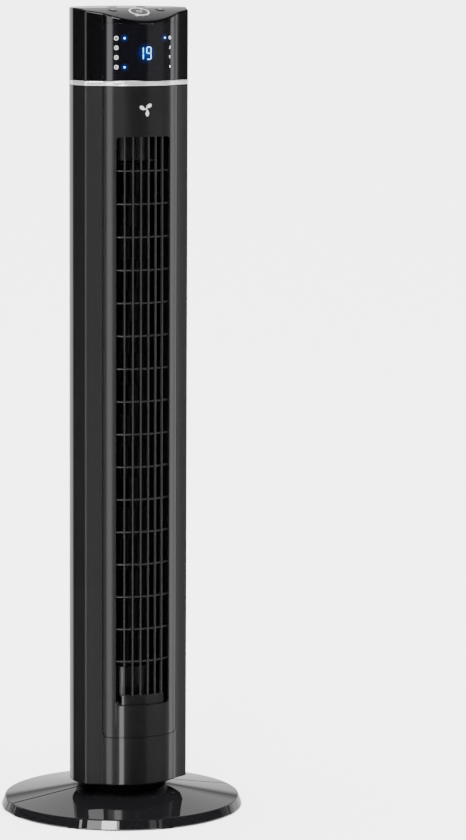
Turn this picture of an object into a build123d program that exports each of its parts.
from build123d import *
import functools
import math
import os

# Tower fan on a round two-piece base. Millimetres. The origin is on the floor under the swing axis,
# +Z is up and the outlet faces -Y. Heights are measured from the floor.

# Overall size
HEIGHT = 1060.0
BASE_R = 160.0
WALL = 2.5
GAP = 0.2                   # fine assembly gap between fixed shells
CLEAR = 0.4                 # air between pieces that move past each other

# Plan outline of the tower: a bowed front, two creased corners, flared shoulders and a round back
ARC_Y, ARC_R = -7.0, 75.0
CORNER_X = 52.0
CORNER_Y = ARC_Y - math.sqrt(ARC_R**2 - CORNER_X**2)
SHOULDER_X, SHOULDER_Y = 72.0, -50.0
BACK_R, BACK_Y = 79.0, -26.0

# Heights up the tower
BODY_LOW = 42.4
PANEL_LOW = 106.5
OUTLET_LOW, OUTLET_HIGH = 149.0, 895.0
BAND_LOW, BAND_HIGH = 960.6, 966.8
LENS_HIGH = 1041.0
DECK_ARC_Y, DECK_ARC_R = -25.0, 101.5    # the deck is flat behind DECK_ARC_Y and rolls down in front

# Outlet
OUTLET_HALF = 37.5
BAR_PITCH = 10.7
BAR_BACK_R = ARC_R - WALL - 4.1
RIB_BACK_R = ARC_R - WALL - 8.1
SILL_HALF = 30.0
SILL_HIGH = 162.5
RIB_LOW, RIB_PITCH, RIB_COUNT = 207.4, 42.9, 16     # heights of the cross ribs' middles

# Intake grille in the back
INTAKE_HALF, INTAKE_LOW, INTAKE_HIGH, INTAKE_CORNER = 60.0, 170.0, 890.0, 8.0
INTAKE_ROWS, INTAKE_COLUMNS, INTAKE_PITCH, SLOT_HALF = 9, 15, 7.6, 2.4

# Screws: a row up each side of the seam, and four through the bottom plate
SEAM_SCREW_X = 66.0
SEAM_SCREW_Z = (80.0, 320.0, 580.0, 840.0, 935.0)
PLATE_SCREWS = ((66.0, -30.0), (-66.0, -30.0), (56.0, 10.0), (-56.0, 10.0))
PILOT_R, HOLE_R, WELL_R = 1.3, 1.7, 3.4
GLAND_R, GLAND_Z = 7.0, 62.0

# Base
RIM_R, RIM_Z, RIM_LOW = 155.8, 13.5, 1.4
SEAT_R, SEAT_Z = 59.0, 29.0
SPIGOT_HOLE_R = 40.3
FOOT_ANGLES = (0, 45, 82, 98, 135, 180, 225, 262, 278, 315)      # from the front, round to +X
NECK_TOP = BODY_LOW - 0.5
NECK_TOP_R = 64.5

# Swing drive: a fixed gear on the base's spigot, and a pinion that the tower carries round it
MODULE = 1.5
BACKLASH = 0.22
RING_TEETH, PINION_TEETH = 40, 12
PINION_Y = -MODULE * (RING_TEETH + PINION_TEETH) / 2
SPIGOT_R, SPIGOT_BORE = 20.0, 13.0
PLATE_LOW, PLATE_HIGH = 45.6, 48.6
COLLAR_HIGH = 56.0
GEAR_LOW, GEAR_HIGH = 57.0, 62.0
GEAR_SCREW_R, GEAR_SCREW_ANGLES = 16.5, (30, 150, 270)
SWING_MOTOR_LOW, SWING_MOTOR_HIGH, SWING_MOTOR_R = 66.0, 86.0, 25.0
SWING_EAR_X, SWING_SHAFT_R = 30.0, 3.5

# Blower
WHEEL_Y, WHEEL_R = -6.0, 44.0
WHEEL_LOW, WHEEL_HIGH = 198.0, 860.0
SEGMENTS, BLADES = 16, 28
SHAFT_R, STUB_R, BUSH_CLEAR = 4.0, 3.0, 0.03
STUB_HIGH = 886.0
DRUM_LOW = 147.5            # the lower drum reaches down behind the sill
MOTOR_LOW, MOTOR_MIDDLE, MOTOR_HIGH, MOTOR_R = 100.0, 125.0, 150.0, 37.0
MOTOR_CORNER_R, MOTOR_ANGLES = 32.0, (30, 150, 270)
FLOOR_LOW, FLOOR_HIGH = 158.5, 162.5
CEILING_LOW, CEILING_HIGH = 897.0, 901.0

# Buttons: name, x, y, radius
BUTTONS = (
    ("power_button", 0.0, -57.0, 13.6),
    ("speed_button", -33.0, -48.0, 6.0),
    ("timer_button", 33.0, -48.0, 6.0),
    ("swing_button", -20.0, -14.0, 6.0),
    ("mode_button", 20.0, -14.0, 6.0),
)
DECK_THICK = 3.0
BUTTON_PROUD = 0.8
STEM_LENGTH = 12.0
SWITCH_BOARD_Z, BOARD_THICK = 1034.0, 1.6

# Display behind the smoked lens: two columns of symbols, three status lights, two digits
LENS_BACK_R = ARC_R - 2.2
ICON_X = 36.5
ICON_ROWS = (1022.0, 1009.6, 997.2, 984.8)
LED_SPOTS = ((-28.0, ICON_ROWS[0]), (28.0, ICON_ROWS[0]), (-28.0, ICON_ROWS[3]))
PIPE_R, PIPE_BACK_Y = 2.3, -56.0

os.makedirs("parts", exist_ok=True)


def save(name, shape):
    export_step(shape, f"parts/{name}.step")


def rod(radius, low, high, x=0.0, y=0.0):
    return Pos(x, y, (low + high) / 2) * Cylinder(radius, high - low)


def tube(outer, inner, low, high, x=0.0, y=0.0):
    return rod(outer, low, high, x, y) - rod(inner, low - 1, high + 1, x, y)


def block(x0, x1, y0, y1, z0, z1):
    return Pos((x0 + x1) / 2, (y0 + y1) / 2, (z0 + z1) / 2) * Box(x1 - x0, y1 - y0, z1 - z0)


def polar(radius, degrees):
    return radius * math.cos(math.radians(degrees)), radius * math.sin(math.radians(degrees))


def rod_along_y(radius, y0, y1, x, z):
    return Pos(x, (y0 + y1) / 2, z) * Rot(90, 0, 0) * Cylinder(radius, y1 - y0)


def turned(points):
    """A solid of revolution about Z from a closed outline of (radius, height) points."""
    face = make_face(Polyline(*[(r, 0, z) for r, z in points], close=True))
    return revolve(face, Axis.Z)


def screw(radius, head_radius, length, head=2.0):
    """A pan-head screw along -Z with the underside of its head at the origin."""
    return rod(radius, -length, 0.1) + rod(head_radius, 0, head)


@functools.lru_cache(maxsize=None)
def outline(inset=0.0):
    """Plan outline of the tower, moved inwards by inset."""
    edges = (
        ThreePointArc((-CORNER_X, CORNER_Y), (0, ARC_Y - ARC_R), (CORNER_X, CORNER_Y))
        + Polyline((CORNER_X, CORNER_Y), (SHOULDER_X, SHOULDER_Y), (BACK_R, BACK_Y))
        + ThreePointArc((BACK_R, BACK_Y), (0, BACK_Y + BACK_R), (-BACK_R, BACK_Y))
        + Polyline((-BACK_R, BACK_Y), (-SHOULDER_X, SHOULDER_Y), (-CORNER_X, CORNER_Y))
    )
    plan = make_face(edges)
    shoulders = plan.vertices().filter_by(lambda v: abs(abs(v.X) - SHOULDER_X) < 0.1)
    plan = fillet(shoulders, 5.0)
    hips = plan.vertices().filter_by(lambda v: abs(v.Y - BACK_Y) < 0.1)
    plan = fillet(hips, 14.0)
    if inset:
        plan = offset(plan, amount=-inset, kind=Kind.INTERSECTION)
    return plan


def prism(low, high, inset=0.0):
    return Pos(0, 0, low) * extrude(outline(inset), high - low)


def front_half(gap=GAP / 2):
    return block(-200, 200, -200, -gap, -10, 1100)


def back_half(gap=GAP / 2):
    return block(-200, 200, gap, 200, -10, 1100)


def front_skin(outer, inner, half_width, low, high):
    """A bowed plate that follows the front of the tower."""
    trim = block(-half_width, half_width, -100, CORNER_Y + 25, low, high)
    return tube(outer, inner, low, high, y=ARC_Y) & trim


def window(half_width, low, high, radius, toward=-1):
    """A rounded rectangular bar along Y, to cut or trim the front (-1) or the back (+1)."""
    bar = extrude(Plane.XZ * RectangleRounded(2 * half_width, high - low, radius), 100)
    return Pos(0, -30 if toward < 0 else 110, (low + high) / 2) * bar


def deck_volume(drop=0.0):
    """Everything under the deck surface: flat at the back, rolled down towards the front."""
    reach = DECK_ARC_Y + 92.0
    end_z = HEIGHT - DECK_ARC_R + math.sqrt(DECK_ARC_R**2 - reach**2)
    mid_z = HEIGHT - DECK_ARC_R + math.sqrt(DECK_ARC_R**2 - (reach / 2) ** 2)
    top = Line((60, HEIGHT), (DECK_ARC_Y, HEIGHT)) + ThreePointArc(
        (DECK_ARC_Y, HEIGHT), (DECK_ARC_Y - reach / 2, mid_z), (DECK_ARC_Y - reach, end_z)
    )
    rest = Polyline((DECK_ARC_Y - reach, end_z), (DECK_ARC_Y - reach, BAND_LOW), (60, BAND_LOW), (60, HEIGHT))
    profile = Plane.YZ * make_face(top + rest)
    return Pos(-100, 0, -drop) * extrude(profile, 200)


def deck_frame(x, y):
    """Plane on the deck surface at (x, y), with +Z along the outward normal."""
    tilt = math.asin(max(0.0, DECK_ARC_Y - y) / DECK_ARC_R)
    z = HEIGHT - DECK_ARC_R + DECK_ARC_R * math.cos(tilt)
    return Pos(x, y, z) * Rot(math.degrees(tilt), 0, 0)


def gear(teeth, low, high, bore, turn):
    """Spur gear with straight-flanked teeth, thinned for backlash."""
    pitch_r = MODULE * teeth / 2
    root_r, tip_r = pitch_r - 1.15 * MODULE, pitch_r + 0.8 * MODULE
    half_pitch = 0.25 * math.pi * MODULE - BACKLASH
    flare = math.tan(math.radians(24))
    root_half = half_pitch + (pitch_r - root_r) * flare
    tip_half = half_pitch - (tip_r - pitch_r) * flare
    base_r = root_r - 0.6
    tooth = make_face(
        Polyline((base_r, -root_half), (root_r, -root_half), (tip_r, -tip_half),
                 (tip_r, tip_half), (root_r, root_half), (base_r, root_half), close=True)
    )
    disc = Circle(root_r) - Circle(bore)
    disc += [Rot(0, 0, turn + 360 * i / teeth) * tooth for i in range(teeth)]
    return Pos(0, 0, low) * extrude(disc, high - low)


# Base: front and rear halves, feet, neck, thrust ring, nut, swing gear

def base_shell():
    outer = turned([(BASE_R, RIM_LOW), (RIM_R, RIM_Z), (SEAT_R, SEAT_Z), (SPIGOT_HOLE_R, SEAT_Z),
                    (SPIGOT_HOLE_R, SEAT_Z - 3), (SEAT_R, SEAT_Z - 3), (RIM_R - 3, RIM_Z - 2.6),
                    (BASE_R - 3, RIM_LOW)])
    hollow = turned([(BASE_R - 4, RIM_LOW + 2), (RIM_R - 4, RIM_Z - 2.4), (SEAT_R + 2, SEAT_Z - 2.8),
                     (SEAT_R + 2, RIM_LOW + 7)])
    ribs = [Rot(0, 0, a) * block(SEAT_R, BASE_R, -1, 1, 0, SEAT_Z) for a in range(15, 360, 30)]
    shell = outer + [rib & hollow for rib in ribs]
    return shell + [foot_tab(angle) for angle in FOOT_ANGLES]


def foot_tab(angle):
    """A short skirt under the rim that holds a rubber foot."""
    tab = tube(BASE_R + 0.5, BASE_R - 9, RIM_LOW - 0.4, RIM_LOW + 2.6) & block(100, 200, -9, 9, 0, 10)
    return Rot(0, 0, angle - 90) * tab


def base_half(side):
    return base_shell() & side


def rubber_feet():
    pad = tube(BASE_R - 0.5, BASE_R - 8, 0, RIM_LOW - 0.4) & block(100, 200, -7.5, 7.5, -1, 10)
    return Compound([Rot(0, 0, angle - 90) * pad for angle in FOOT_ANGLES])


def neck():
    cone = turned([(SEAT_R - 1, SEAT_Z), (NECK_TOP_R, NECK_TOP), (SPIGOT_BORE, NECK_TOP),
                   (SPIGOT_BORE, NECK_TOP - 3), (NECK_TOP_R - 3, NECK_TOP - 3), (SEAT_R - 4, SEAT_Z)])
    spigot = tube(SPIGOT_R, SPIGOT_BORE, NECK_TOP - 1, GEAR_LOW)
    plug = tube(SPIGOT_HOLE_R - 0.3, SPIGOT_HOLE_R - 4.3, 12, NECK_TOP - 1)
    foot_ring = tube(SEAT_R - 2, SPIGOT_HOLE_R - 2, SEAT_Z, SEAT_Z + 2.5)
    pilots = [rod(PILOT_R, GEAR_LOW - 10, GEAR_LOW + 1, x, y) for x, y in gear_screw_spots()]
    return cone + spigot + plug + foot_ring - pilots


def gear_screw_spots():
    return [polar(GEAR_SCREW_R, a) for a in GEAR_SCREW_ANGLES]


def base_nut():
    """Ring nut with grip notches that clamps the neck's plug under the base."""
    nut = tube(54, SPIGOT_HOLE_R - 0.2, 18.5, SEAT_Z - 3)
    return nut - [rod(4, 10, 30, *polar(54, a)) for a in range(0, 360, 30)]


def thrust_ring():
    return tube(44, SPIGOT_R + 1, NECK_TOP, PLATE_LOW - 0.3)


def swing_gear():
    ring = gear(RING_TEETH, GEAR_LOW, GEAR_HIGH, SPIGOT_BORE, 0)
    return ring - [rod(HOLE_R, GEAR_LOW - 1, GEAR_HIGH + 1, x, y) for x, y in gear_screw_spots()]


def gear_screws():
    return Compound([Pos(x, y, GEAR_HIGH) * screw(1.25, 2.8, 13) for x, y in gear_screw_spots()])


# Tower: housings and fixed structure

def plan_boss(x0, x1, y0, y1, z0, z1):
    """A block boss that runs into the housing wall and stops inside it."""
    return block(x0, x1, y0, y1, z0, z1) & prism(z0, z1, 1.0)


def both_sides(make):
    shape = make()
    return [shape, mirror(shape, Plane.YZ)]


def tower_wall():
    outer = prism(BODY_LOW, BAND_LOW)
    outer = chamfer(outer.edges().group_by(Axis.Z)[0], 1.2)
    return outer - prism(BODY_LOW - 1, BAND_LOW + 1, WALL)


def front_housing():
    shell = tower_wall() & front_half()
    shell -= window(CORNER_X + 0.1, PANEL_LOW - GAP, BAND_LOW + 40, 6.0 + GAP)
    for z in SEAM_SCREW_Z:
        shell += both_sides(lambda: plan_boss(60, 80, -17, -GAP / 2, z - 5, z + 5))
    shell += both_sides(lambda: plan_boss(59, 80, -36, -24, PLATE_HIGH + GAP, 68))
    for side in (-1, 1):
        shell -= [rod_along_y(PILOT_R, -15, 1, side * SEAM_SCREW_X, z) for z in SEAM_SCREW_Z]
    return shell - [rod(PILOT_R, 40, 62, x, y) for x, y in PLATE_SCREWS[:2]]


def rear_housing():
    shell = tower_wall() & back_half()
    shell -= window(INTAKE_HALF, INTAKE_LOW, INTAKE_HIGH, INTAKE_CORNER, toward=1)
    for z in SEAM_SCREW_Z:
        shell += both_sides(lambda: plan_boss(60, 80, GAP / 2, 30, z - 5, z + 5))
    shell += both_sides(lambda: plan_boss(50, 80, 5, 15, PLATE_HIGH + GAP, 68))
    for side in (-1, 1):
        shell -= [rod_along_y(HOLE_R, -1, 30, side * SEAM_SCREW_X, z) for z in SEAM_SCREW_Z]
        shell -= [rod_along_y(WELL_R, 8, 40, side * SEAM_SCREW_X, z) for z in SEAM_SCREW_Z]
    shell -= rod_along_y(GLAND_R, 40, 60, 0, GLAND_Z)
    return shell - [rod(PILOT_R, 40, 62, x, y) for x, y in PLATE_SCREWS[2:]]


def rear_grille():
    """Intake grille: a curved plate with rows of upright slots."""
    shell = tube(BACK_R, BACK_R - WALL, 0, 1000, y=BACK_Y)
    shell &= window(INTAKE_HALF - GAP, INTAKE_LOW + GAP, INTAKE_HIGH - GAP, INTAKE_CORNER - GAP, toward=1)
    low, pitch_z = INTAKE_LOW + 10, (INTAKE_HIGH - INTAKE_LOW - 20) / INTAKE_ROWS
    middles = [INTAKE_PITCH * (c - INTAKE_COLUMNS // 2) for c in range(INTAKE_COLUMNS)]
    slots = [
        block(x - SLOT_HALF, x + SLOT_HALF, 0, 80, low + pitch_z * row + 3, low + pitch_z * (row + 1) - 3)
        for row in range(INTAKE_ROWS) for x in middles
    ]
    return shell - slots


def front_panel():
    skin = front_skin(ARC_R, ARC_R - WALL, CORNER_X + 5, PANEL_LOW - 5, BAND_LOW)
    skin &= window(CORNER_X - 0.1, PANEL_LOW, BAND_LOW + 40, 6.0)
    return skin - window(OUTLET_HALF, OUTLET_LOW, OUTLET_HIGH, 4.5)


def outlet_grille():
    """Backing frame, six upright bars in front of sixteen thin cross ribs, and a solid sill under them."""
    face_r = ARC_R - WALL - 0.1
    frame = front_skin(face_r, face_r - 2, CORNER_X - 3, PANEL_LOW + 16, BAND_LOW - 20)
    frame -= window(OUTLET_HALF + 1, OUTLET_LOW - 1, OUTLET_HIGH + 1, 4.5)
    bar = front_skin(face_r, BAR_BACK_R, 1.1, OUTLET_LOW - 6, OUTLET_HIGH + 6)
    places = [math.degrees(math.asin((i + 0.5) * BAR_PITCH / face_r)) for i in range(-3, 3)]
    upright = [Pos(0, ARC_Y, 0) * Rot(0, 0, a) * Pos(0, -ARC_Y, 0) * bar for a in places]
    heights = [RIB_LOW + RIB_PITCH * i for i in range(RIB_COUNT)]
    ribs = [front_skin(face_r - 1.2, RIB_BACK_R, OUTLET_HALF + 3, z - 0.9, z + 0.9) for z in heights]
    sill = front_skin(face_r - 0.3, RIB_BACK_R, SILL_HALF, OUTLET_LOW - 4, SILL_HIGH)
    return frame + upright + ribs + sill


def chrome_band():
    return prism(BAND_LOW, BAND_HIGH, -0.5) - prism(BAND_LOW - 1, BAND_HIGH + 1, WALL)


def bottom_plate():
    plate = prism(PLATE_LOW, PLATE_HIGH, WALL + GAP)
    plate += tube(SPIGOT_R + 4, 10, PLATE_HIGH - 1, COLLAR_HIGH)
    plate += [rod(4.5, PLATE_HIGH - 1, SWING_MOTOR_LOW, x, PINION_Y) for x in (-SWING_EAR_X, SWING_EAR_X)]
    plate -= rod(SPIGOT_R + 0.05, 40, COLLAR_HIGH + 1)
    plate -= [rod(PILOT_R, PLATE_HIGH, SWING_MOTOR_LOW + 1, x, PINION_Y) for x in (-SWING_EAR_X, SWING_EAR_X)]
    return plate - [rod(HOLE_R, 40, 60, x, y) for x, y in PLATE_SCREWS]


def plate_screws():
    return Compound([Pos(x, y, PLATE_LOW) * Rot(180, 0, 0) * screw(1.25, 2.8, 14) for x, y in PLATE_SCREWS])


def housing_screws():
    made = []
    for side in (-1, 1):
        for z in SEAM_SCREW_Z:
            made.append(Pos(side * SEAM_SCREW_X, 8, z) * Rot(-90, 0, 0) * screw(1.25, 3.0, 21))
    return Compound(made)


def cord_gland():
    """Ring in the back wall that the mains lead would pass through."""
    gland = rod_along_y(GLAND_R - GAP, 46, 55, 0, GLAND_Z) + rod_along_y(GLAND_R + 2, 53.6, 55.6, 0, GLAND_Z)
    return gland - rod_along_y(3.7, 40, 60, 0, GLAND_Z)


# Swing drive carried by the tower

def swing_motor():
    can = rod(SWING_MOTOR_R, SWING_MOTOR_LOW + 1.2, SWING_MOTOR_HIGH, y=PINION_Y)
    ears = block(-36, 36, PINION_Y - 7, PINION_Y + 7, SWING_MOTOR_LOW, SWING_MOTOR_LOW + 1.2)
    body = can + ears + rod(6, SWING_MOTOR_LOW - 1, SWING_MOTOR_LOW + 2, y=PINION_Y)
    body -= rod(SWING_SHAFT_R + 0.05, SWING_MOTOR_LOW - 2, SWING_MOTOR_HIGH - 4, y=PINION_Y)
    return body - [rod(HOLE_R, 60, 68, x, PINION_Y) for x in (-SWING_EAR_X, SWING_EAR_X)]


def swing_motor_screws():
    top = SWING_MOTOR_LOW + 1.2
    return Compound([Pos(x, PINION_Y, top) * screw(1.25, 2.6, 10) for x in (-SWING_EAR_X, SWING_EAR_X)])


def swing_pinion():
    """Pinion turned so that a gap meets the ring gear's tooth on the -Y side."""
    teeth = gear(PINION_TEETH, GEAR_LOW, GEAR_HIGH, SWING_SHAFT_R + 0.02, 180 / PINION_TEETH - 90)
    return Pos(0, PINION_Y, 0) * teeth


def swing_motor_shaft():
    return rod(SWING_SHAFT_R, GEAR_LOW, SWING_MOTOR_HIGH - 4.5, y=PINION_Y)


# Duct and blower

def duct_plate(low, high):
    """Level plate across the housing, cut back behind the outlet grille."""
    return prism(low, high, WALL + 0.5) - front_skin(ARC_R + 5, RIB_BACK_R - GAP, CORNER_X + 2, low, high)


def duct_floor():
    """Floor of the duct, open for the lower drum and in front of it."""
    plate = duct_plate(FLOOR_LOW, FLOOR_HIGH) - rod(WHEEL_R + GAP, FLOOR_LOW - 1, FLOOR_HIGH + 1, y=WHEEL_Y)
    return plate - block(-40.5, 40.5, -90, -38, FLOOR_LOW - 1, FLOOR_HIGH + 1)


def motor_corners():
    spots = [polar(MOTOR_CORNER_R, a) for a in MOTOR_ANGLES]
    return [(x, y + WHEEL_Y) for x, y in spots]


def duct_wall(start, middle, end, thickness=2.0):
    edge = ThreePointArc(start, middle, end)
    strip = offset(edge, amount=thickness / 2, side=Side.BOTH)
    return Pos(0, 0, FLOOR_HIGH) * extrude(make_face(strip), CEILING_LOW - FLOOR_HIGH)


def scroll_wall():
    return duct_wall((-38, 30), (-56, -16), (-42, -60))


def vortex_tongue():
    return duct_wall((46, -26), (45, -42), (42, -60))


def drum(low, high, cap_low):
    """Smooth drum that fills the outlet beyond an end of the blower wheel, with a cap across it."""
    cap = tube(WHEEL_R - 1, 16, cap_low, cap_low + 3, y=WHEEL_Y)
    return tube(WHEEL_R, WHEEL_R - 3, low, high, y=WHEEL_Y) + cap


def lower_end_block():
    """Lower drum: rests on the duct floor by a flange and carries the motor on three posts."""
    body = drum(DRUM_LOW, WHEEL_LOW - 3, FLOOR_HIGH)
    flange = tube(WHEEL_R + 4, WHEEL_R - 1, FLOOR_HIGH, FLOOR_HIGH + 3, y=WHEEL_Y)
    body += flange & block(-60, 60, -32, 60, FLOOR_HIGH, FLOOR_HIGH + 3)
    body += [rod(4, MOTOR_HIGH + 2.2, FLOOR_HIGH + 1, x, y) for x, y in motor_corners()]
    return body - [rod(1.5, MOTOR_HIGH, FLOOR_HIGH, x, y) for x, y in motor_corners()]


def upper_end_block():
    return drum(WHEEL_HIGH + 3, CEILING_LOW, CEILING_LOW - 3)


def duct_ceiling():
    plate = duct_plate(CEILING_LOW, CEILING_HIGH)
    socket = tube(15.8, 12.1, STUB_HIGH - 12, CEILING_LOW + 1, y=WHEEL_Y)
    return plate + socket


def bearing_rubber():
    return tube(12, 6.1, STUB_HIGH - 11, STUB_HIGH + 2, y=WHEEL_Y)


def upper_bush():
    return tube(6, STUB_R + BUSH_CLEAR, STUB_HIGH - 10, STUB_HIGH + 1, y=WHEEL_Y)


def motor_cover(low, high, floor_at_low):
    """Half of the motor can, with its boss for the bush and three ears."""
    cup = tube(MOTOR_R, MOTOR_R - 1.5, low, high, y=WHEEL_Y)
    end = (low, low + 1.5) if floor_at_low else (high - 1.5, high)
    cup += rod(MOTOR_R - 0.5, *end, y=WHEEL_Y)
    boss = (low - 4, low + 1) if floor_at_low else (high - 1, high + 4)
    cup += rod(9, *boss, y=WHEEL_Y)
    return cup - rod(7, low - 5, high + 5, y=WHEEL_Y)


def motor_lower_cover():
    return motor_cover(MOTOR_LOW, MOTOR_MIDDLE - GAP / 2, True)


def motor_upper_cover():
    cover = motor_cover(MOTOR_MIDDLE + GAP / 2, MOTOR_HIGH, False)
    return cover - [rod(HOLE_R + 0.1, MOTOR_HIGH - 10, MOTOR_HIGH + 10, x, y) for x, y in motor_corners()]


def motor_stator():
    ring = tube(MOTOR_R - 1.6, 20.6, MOTOR_MIDDLE - 15, MOTOR_MIDDLE + 15, y=WHEEL_Y)
    slot = block(20, 28, -2.5, 2.5, MOTOR_LOW, MOTOR_HIGH)
    return ring - [Pos(0, WHEEL_Y, 0) * Rot(0, 0, a) * slot for a in range(0, 360, 30)]


def motor_coils():
    coil = tube(28.5, 22.5, MOTOR_MIDDLE - 22.5, MOTOR_MIDDLE - 15.1, y=WHEEL_Y)
    return Compound([coil, Pos(0, 0, 37.6) * coil])


def motor_bushes():
    lower = tube(6.9, SHAFT_R + BUSH_CLEAR, MOTOR_LOW - 3.5, MOTOR_LOW + 2, y=WHEEL_Y)
    return Compound([lower, Pos(0, 0, MOTOR_HIGH - MOTOR_LOW + 1.5) * lower])


def motor_rubbers():
    return Compound([tube(5.5, 1.9, MOTOR_HIGH, MOTOR_HIGH + 2.1, x, y) for x, y in motor_corners()])


def motor_screws():
    low = MOTOR_HIGH - 1.5
    return Compound([Pos(x, y, low) * Rot(180, 0, 0) * screw(1.4, 2.8, 8) for x, y in motor_corners()])


def motor_rotor():
    return tube(20, SHAFT_R + 0.02, MOTOR_MIDDLE - 16, MOTOR_MIDDLE + 16, y=WHEEL_Y)


def wheel_shaft():
    return rod(SHAFT_R, MOTOR_LOW - 5, WHEEL_LOW + 16, y=WHEEL_Y)


def wheel_lower_end():
    """Bottom disc of the wheel with the clamping boss for the motor shaft."""
    disc = rod(WHEEL_R, WHEEL_LOW, WHEEL_LOW + 3, y=WHEEL_Y) + rod(10, WHEEL_LOW, WHEEL_LOW + 17, y=WHEEL_Y)
    return disc - rod(SHAFT_R + 0.02, WHEEL_LOW - 1, WHEEL_LOW + 18, y=WHEEL_Y)


def wheel_upper_end():
    disc = rod(WHEEL_R, WHEEL_HIGH - 3, WHEEL_HIGH, y=WHEEL_Y)
    stub = rod(8, WHEEL_HIGH - 1, WHEEL_HIGH + 6, y=WHEEL_Y) + rod(STUB_R, WHEEL_HIGH, STUB_HIGH, y=WHEEL_Y)
    return disc + stub


def wheel_segment(height):
    """Ring with forward-curved blades standing on it."""
    inner, outer = WHEEL_R - 10.5, WHEEL_R - 0.6

    def face(shift):
        points = [polar(inner, shift), polar((inner + outer) / 2 + 1, shift + 2), polar(outer, shift + 12)]
        return ThreePointArc(*points), points[0], points[2]

    near, near_in, near_out = face(0.0)
    far, far_in, far_out = face(1.6)
    blade = extrude(make_face(near + Line(near_out, far_out) + far + Line(far_in, near_in)), height)
    ring = tube(WHEEL_R, inner - 1, 0, 2)
    return ring + [Rot(0, 0, 360 * i / BLADES) * blade for i in range(BLADES)]


def blower_wheel():
    low, high = WHEEL_LOW + 3, WHEEL_HIGH - 3
    height = (high - low) / SEGMENTS
    segment = wheel_segment(height)
    stack = [Pos(0, WHEEL_Y, low + height * i) * Rot(0, 0, 4.0 * i) * segment for i in range(SEGMENTS)]
    return Compound([solid for piece in stack for solid in piece.solids()])


# Electrics

def run_capacitor():
    return fillet(block(38, 56, -26, 2, PLATE_HIGH, 74).edges().filter_by(Axis.Z), 2)


def power_board():
    board = block(-40, 40, 33, 34.6, 60, 94)
    parts = [block(-34, -14, 21, 33, 66, 86), block(-6, 10, 23, 33, 64, 90), block(18, 36, 25, 33, 68, 82)]
    return board + parts


def board_bracket():
    """Post on the bottom plate that the power board is clipped to."""
    return block(-38, 38, 29.5, 38, PLATE_HIGH, 59.8) - block(-30, 30, 20, 45, 52, 70)


def display_board():
    return block(-46, 46, PIPE_BACK_Y, PIPE_BACK_Y + BOARD_THICK, 974, 1030)


def lens_back_y(x):
    return ARC_Y - math.sqrt(LENS_BACK_R**2 - x**2)


def digit_module():
    return block(-13, 13, -73, PIPE_BACK_Y, 990, 1017)


def indicator_lights():
    """Light pipes from the board to the back of the lens, one per symbol and status light."""
    spots = [(side * ICON_X, z) for side in (-1, 1) for z in ICON_ROWS]
    spots += LED_SPOTS
    front_y = {x: lens_back_y(abs(x) + PIPE_R) + 0.6 for x, _ in spots}
    return Compound([rod_along_y(PIPE_R, front_y[x], PIPE_BACK_Y, x, z) for x, z in spots])


def display_lens():
    skin = front_skin(ARC_R, LENS_BACK_R, CORNER_X + 5, BAND_HIGH + GAP, LENS_HIGH + 5)
    return skin & window(CORNER_X - 0.3, BAND_HIGH - 40, LENS_HIGH, 3)


def infrared_receiver():
    return block(-3.5, 3.5, -60, PIPE_BACK_Y, 1021, 1029) + rod_along_y(2.4, -62.5, -59, 0, 1025)


def ioniser():
    return fillet(block(-22, 22, 8, 34, CEILING_HIGH, CEILING_HIGH + 24).edges().filter_by(Axis.Z), 3)


def head_solid():
    return prism(BAND_HIGH, HEIGHT) & deck_volume()


def head_shell():
    shell = head_solid() - prism(BAND_LOW, HEIGHT + 1, WALL)
    shell -= window(CORNER_X - 0.1, BAND_HIGH - 40, LENS_HIGH + GAP, 3)
    return shell + both_sides(lambda: plan_boss(50, 80, -20, -8, BAND_HIGH + 4, SWITCH_BOARD_Z))


def top_deck():
    plate = (prism(BAND_HIGH, HEIGHT, WALL + GAP) & deck_volume()) - deck_volume(DECK_THICK)
    wells = [deck_frame(x, y) * rod(r + CLEAR, -8, 8) for _, x, y, r in BUTTONS]
    return plate - wells


def push_button(x, y, radius):
    """Domed cap with a stem that reaches down to its switch."""
    cap = rod(radius, -5.2, BUTTON_PROUD)
    cap = fillet(cap.edges().group_by(Axis.Z)[-1], 0.6)
    cap += rod(radius + 1.2, -6.4, -5.1) + rod(2.2, -STEM_LENGTH, -6)
    return deck_frame(x, y) * cap & block(-80, 80, -90, 60, SWITCH_BOARD_Z + 7, HEIGHT + 5)


def switch_board():
    board = block(-56, 56, -66, -4, SWITCH_BOARD_Z, SWITCH_BOARD_Z + BOARD_THICK)
    return board & prism(SWITCH_BOARD_Z, SWITCH_BOARD_Z + 2, WALL + 2)


def stem_foot(x, y):
    """Where a button's stem ends, above its switch."""
    tilt = math.asin(max(0.0, DECK_ARC_Y - y) / DECK_ARC_R)
    return x, y + STEM_LENGTH * math.sin(tilt)


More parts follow.
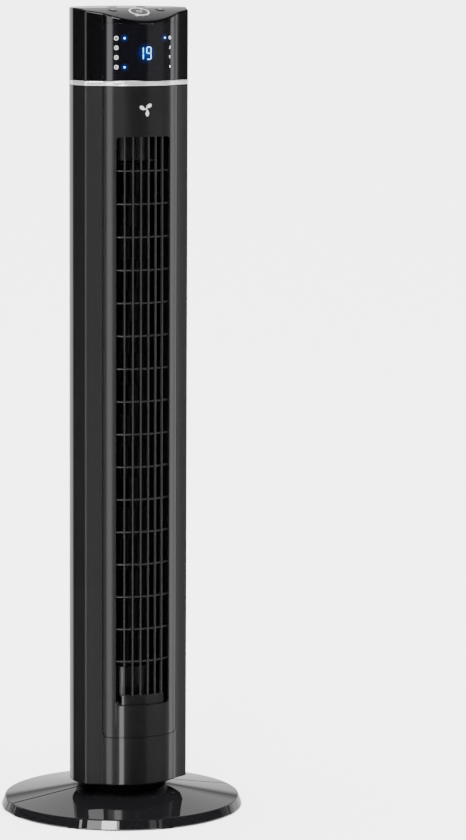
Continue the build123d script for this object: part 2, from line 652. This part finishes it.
def tact_switches():
    made = []
    for _, x, y, _ in BUTTONS:
        sx, sy = stem_foot(x, y)
        made.append(block(sx - 3, sx + 3, sy - 3, sy + 3, SWITCH_BOARD_Z + BOARD_THICK, SWITCH_BOARD_Z + 5.2))
    return Compound(made)


NODES = {
    "base_front": lambda: base_half(front_half()),
    "base_rear": lambda: base_half(back_half()),
    "rubber_feet": rubber_feet,
    "neck": neck,
    "base_nut": base_nut,
    "thrust_ring": thrust_ring,
    "swing_gear": swing_gear,
    "gear_screws": gear_screws,
    "front_housing": front_housing,
    "rear_housing": rear_housing,
    "rear_grille": rear_grille,
    "front_panel": front_panel,
    "outlet_grille": outlet_grille,
    "chrome_band": chrome_band,
    "bottom_plate": bottom_plate,
    "plate_screws": plate_screws,
    "housing_screws": housing_screws,
    "cord_gland": cord_gland,
    "swing_motor": swing_motor,
    "swing_motor_screws": swing_motor_screws,
    "swing_motor_shaft": swing_motor_shaft,
    "swing_pinion": swing_pinion,
    "duct_floor": duct_floor,
    "scroll_wall": scroll_wall,
    "vortex_tongue": vortex_tongue,
    "lower_end_block": lower_end_block,
    "upper_end_block": upper_end_block,
    "duct_ceiling": duct_ceiling,
    "bearing_rubber": bearing_rubber,
    "upper_bush": upper_bush,
    "motor_lower_cover": motor_lower_cover,
    "motor_upper_cover": motor_upper_cover,
    "motor_stator": motor_stator,
    "motor_coils": motor_coils,
    "motor_bushes": motor_bushes,
    "motor_rubbers": motor_rubbers,
    "motor_screws": motor_screws,
    "motor_rotor": motor_rotor,
    "wheel_shaft": wheel_shaft,
    "wheel_lower_end": wheel_lower_end,
    "wheel_upper_end": wheel_upper_end,
    "blower_wheel": blower_wheel,
    "run_capacitor": run_capacitor,
    "power_board": power_board,
    "board_bracket": board_bracket,
    "display_board": display_board,
    "digit_module": digit_module,
    "indicator_lights": indicator_lights,
    "display_lens": display_lens,
    "infrared_receiver": infrared_receiver,
    "ioniser": ioniser,
    "head_shell": head_shell,
    "top_deck": top_deck,
    "switch_board": switch_board,
    "tact_switches": tact_switches,
}

for node, make in NODES.items():
    save(node, make())
for button, x, y, radius in BUTTONS:
    save(button, push_button(x, y, radius))
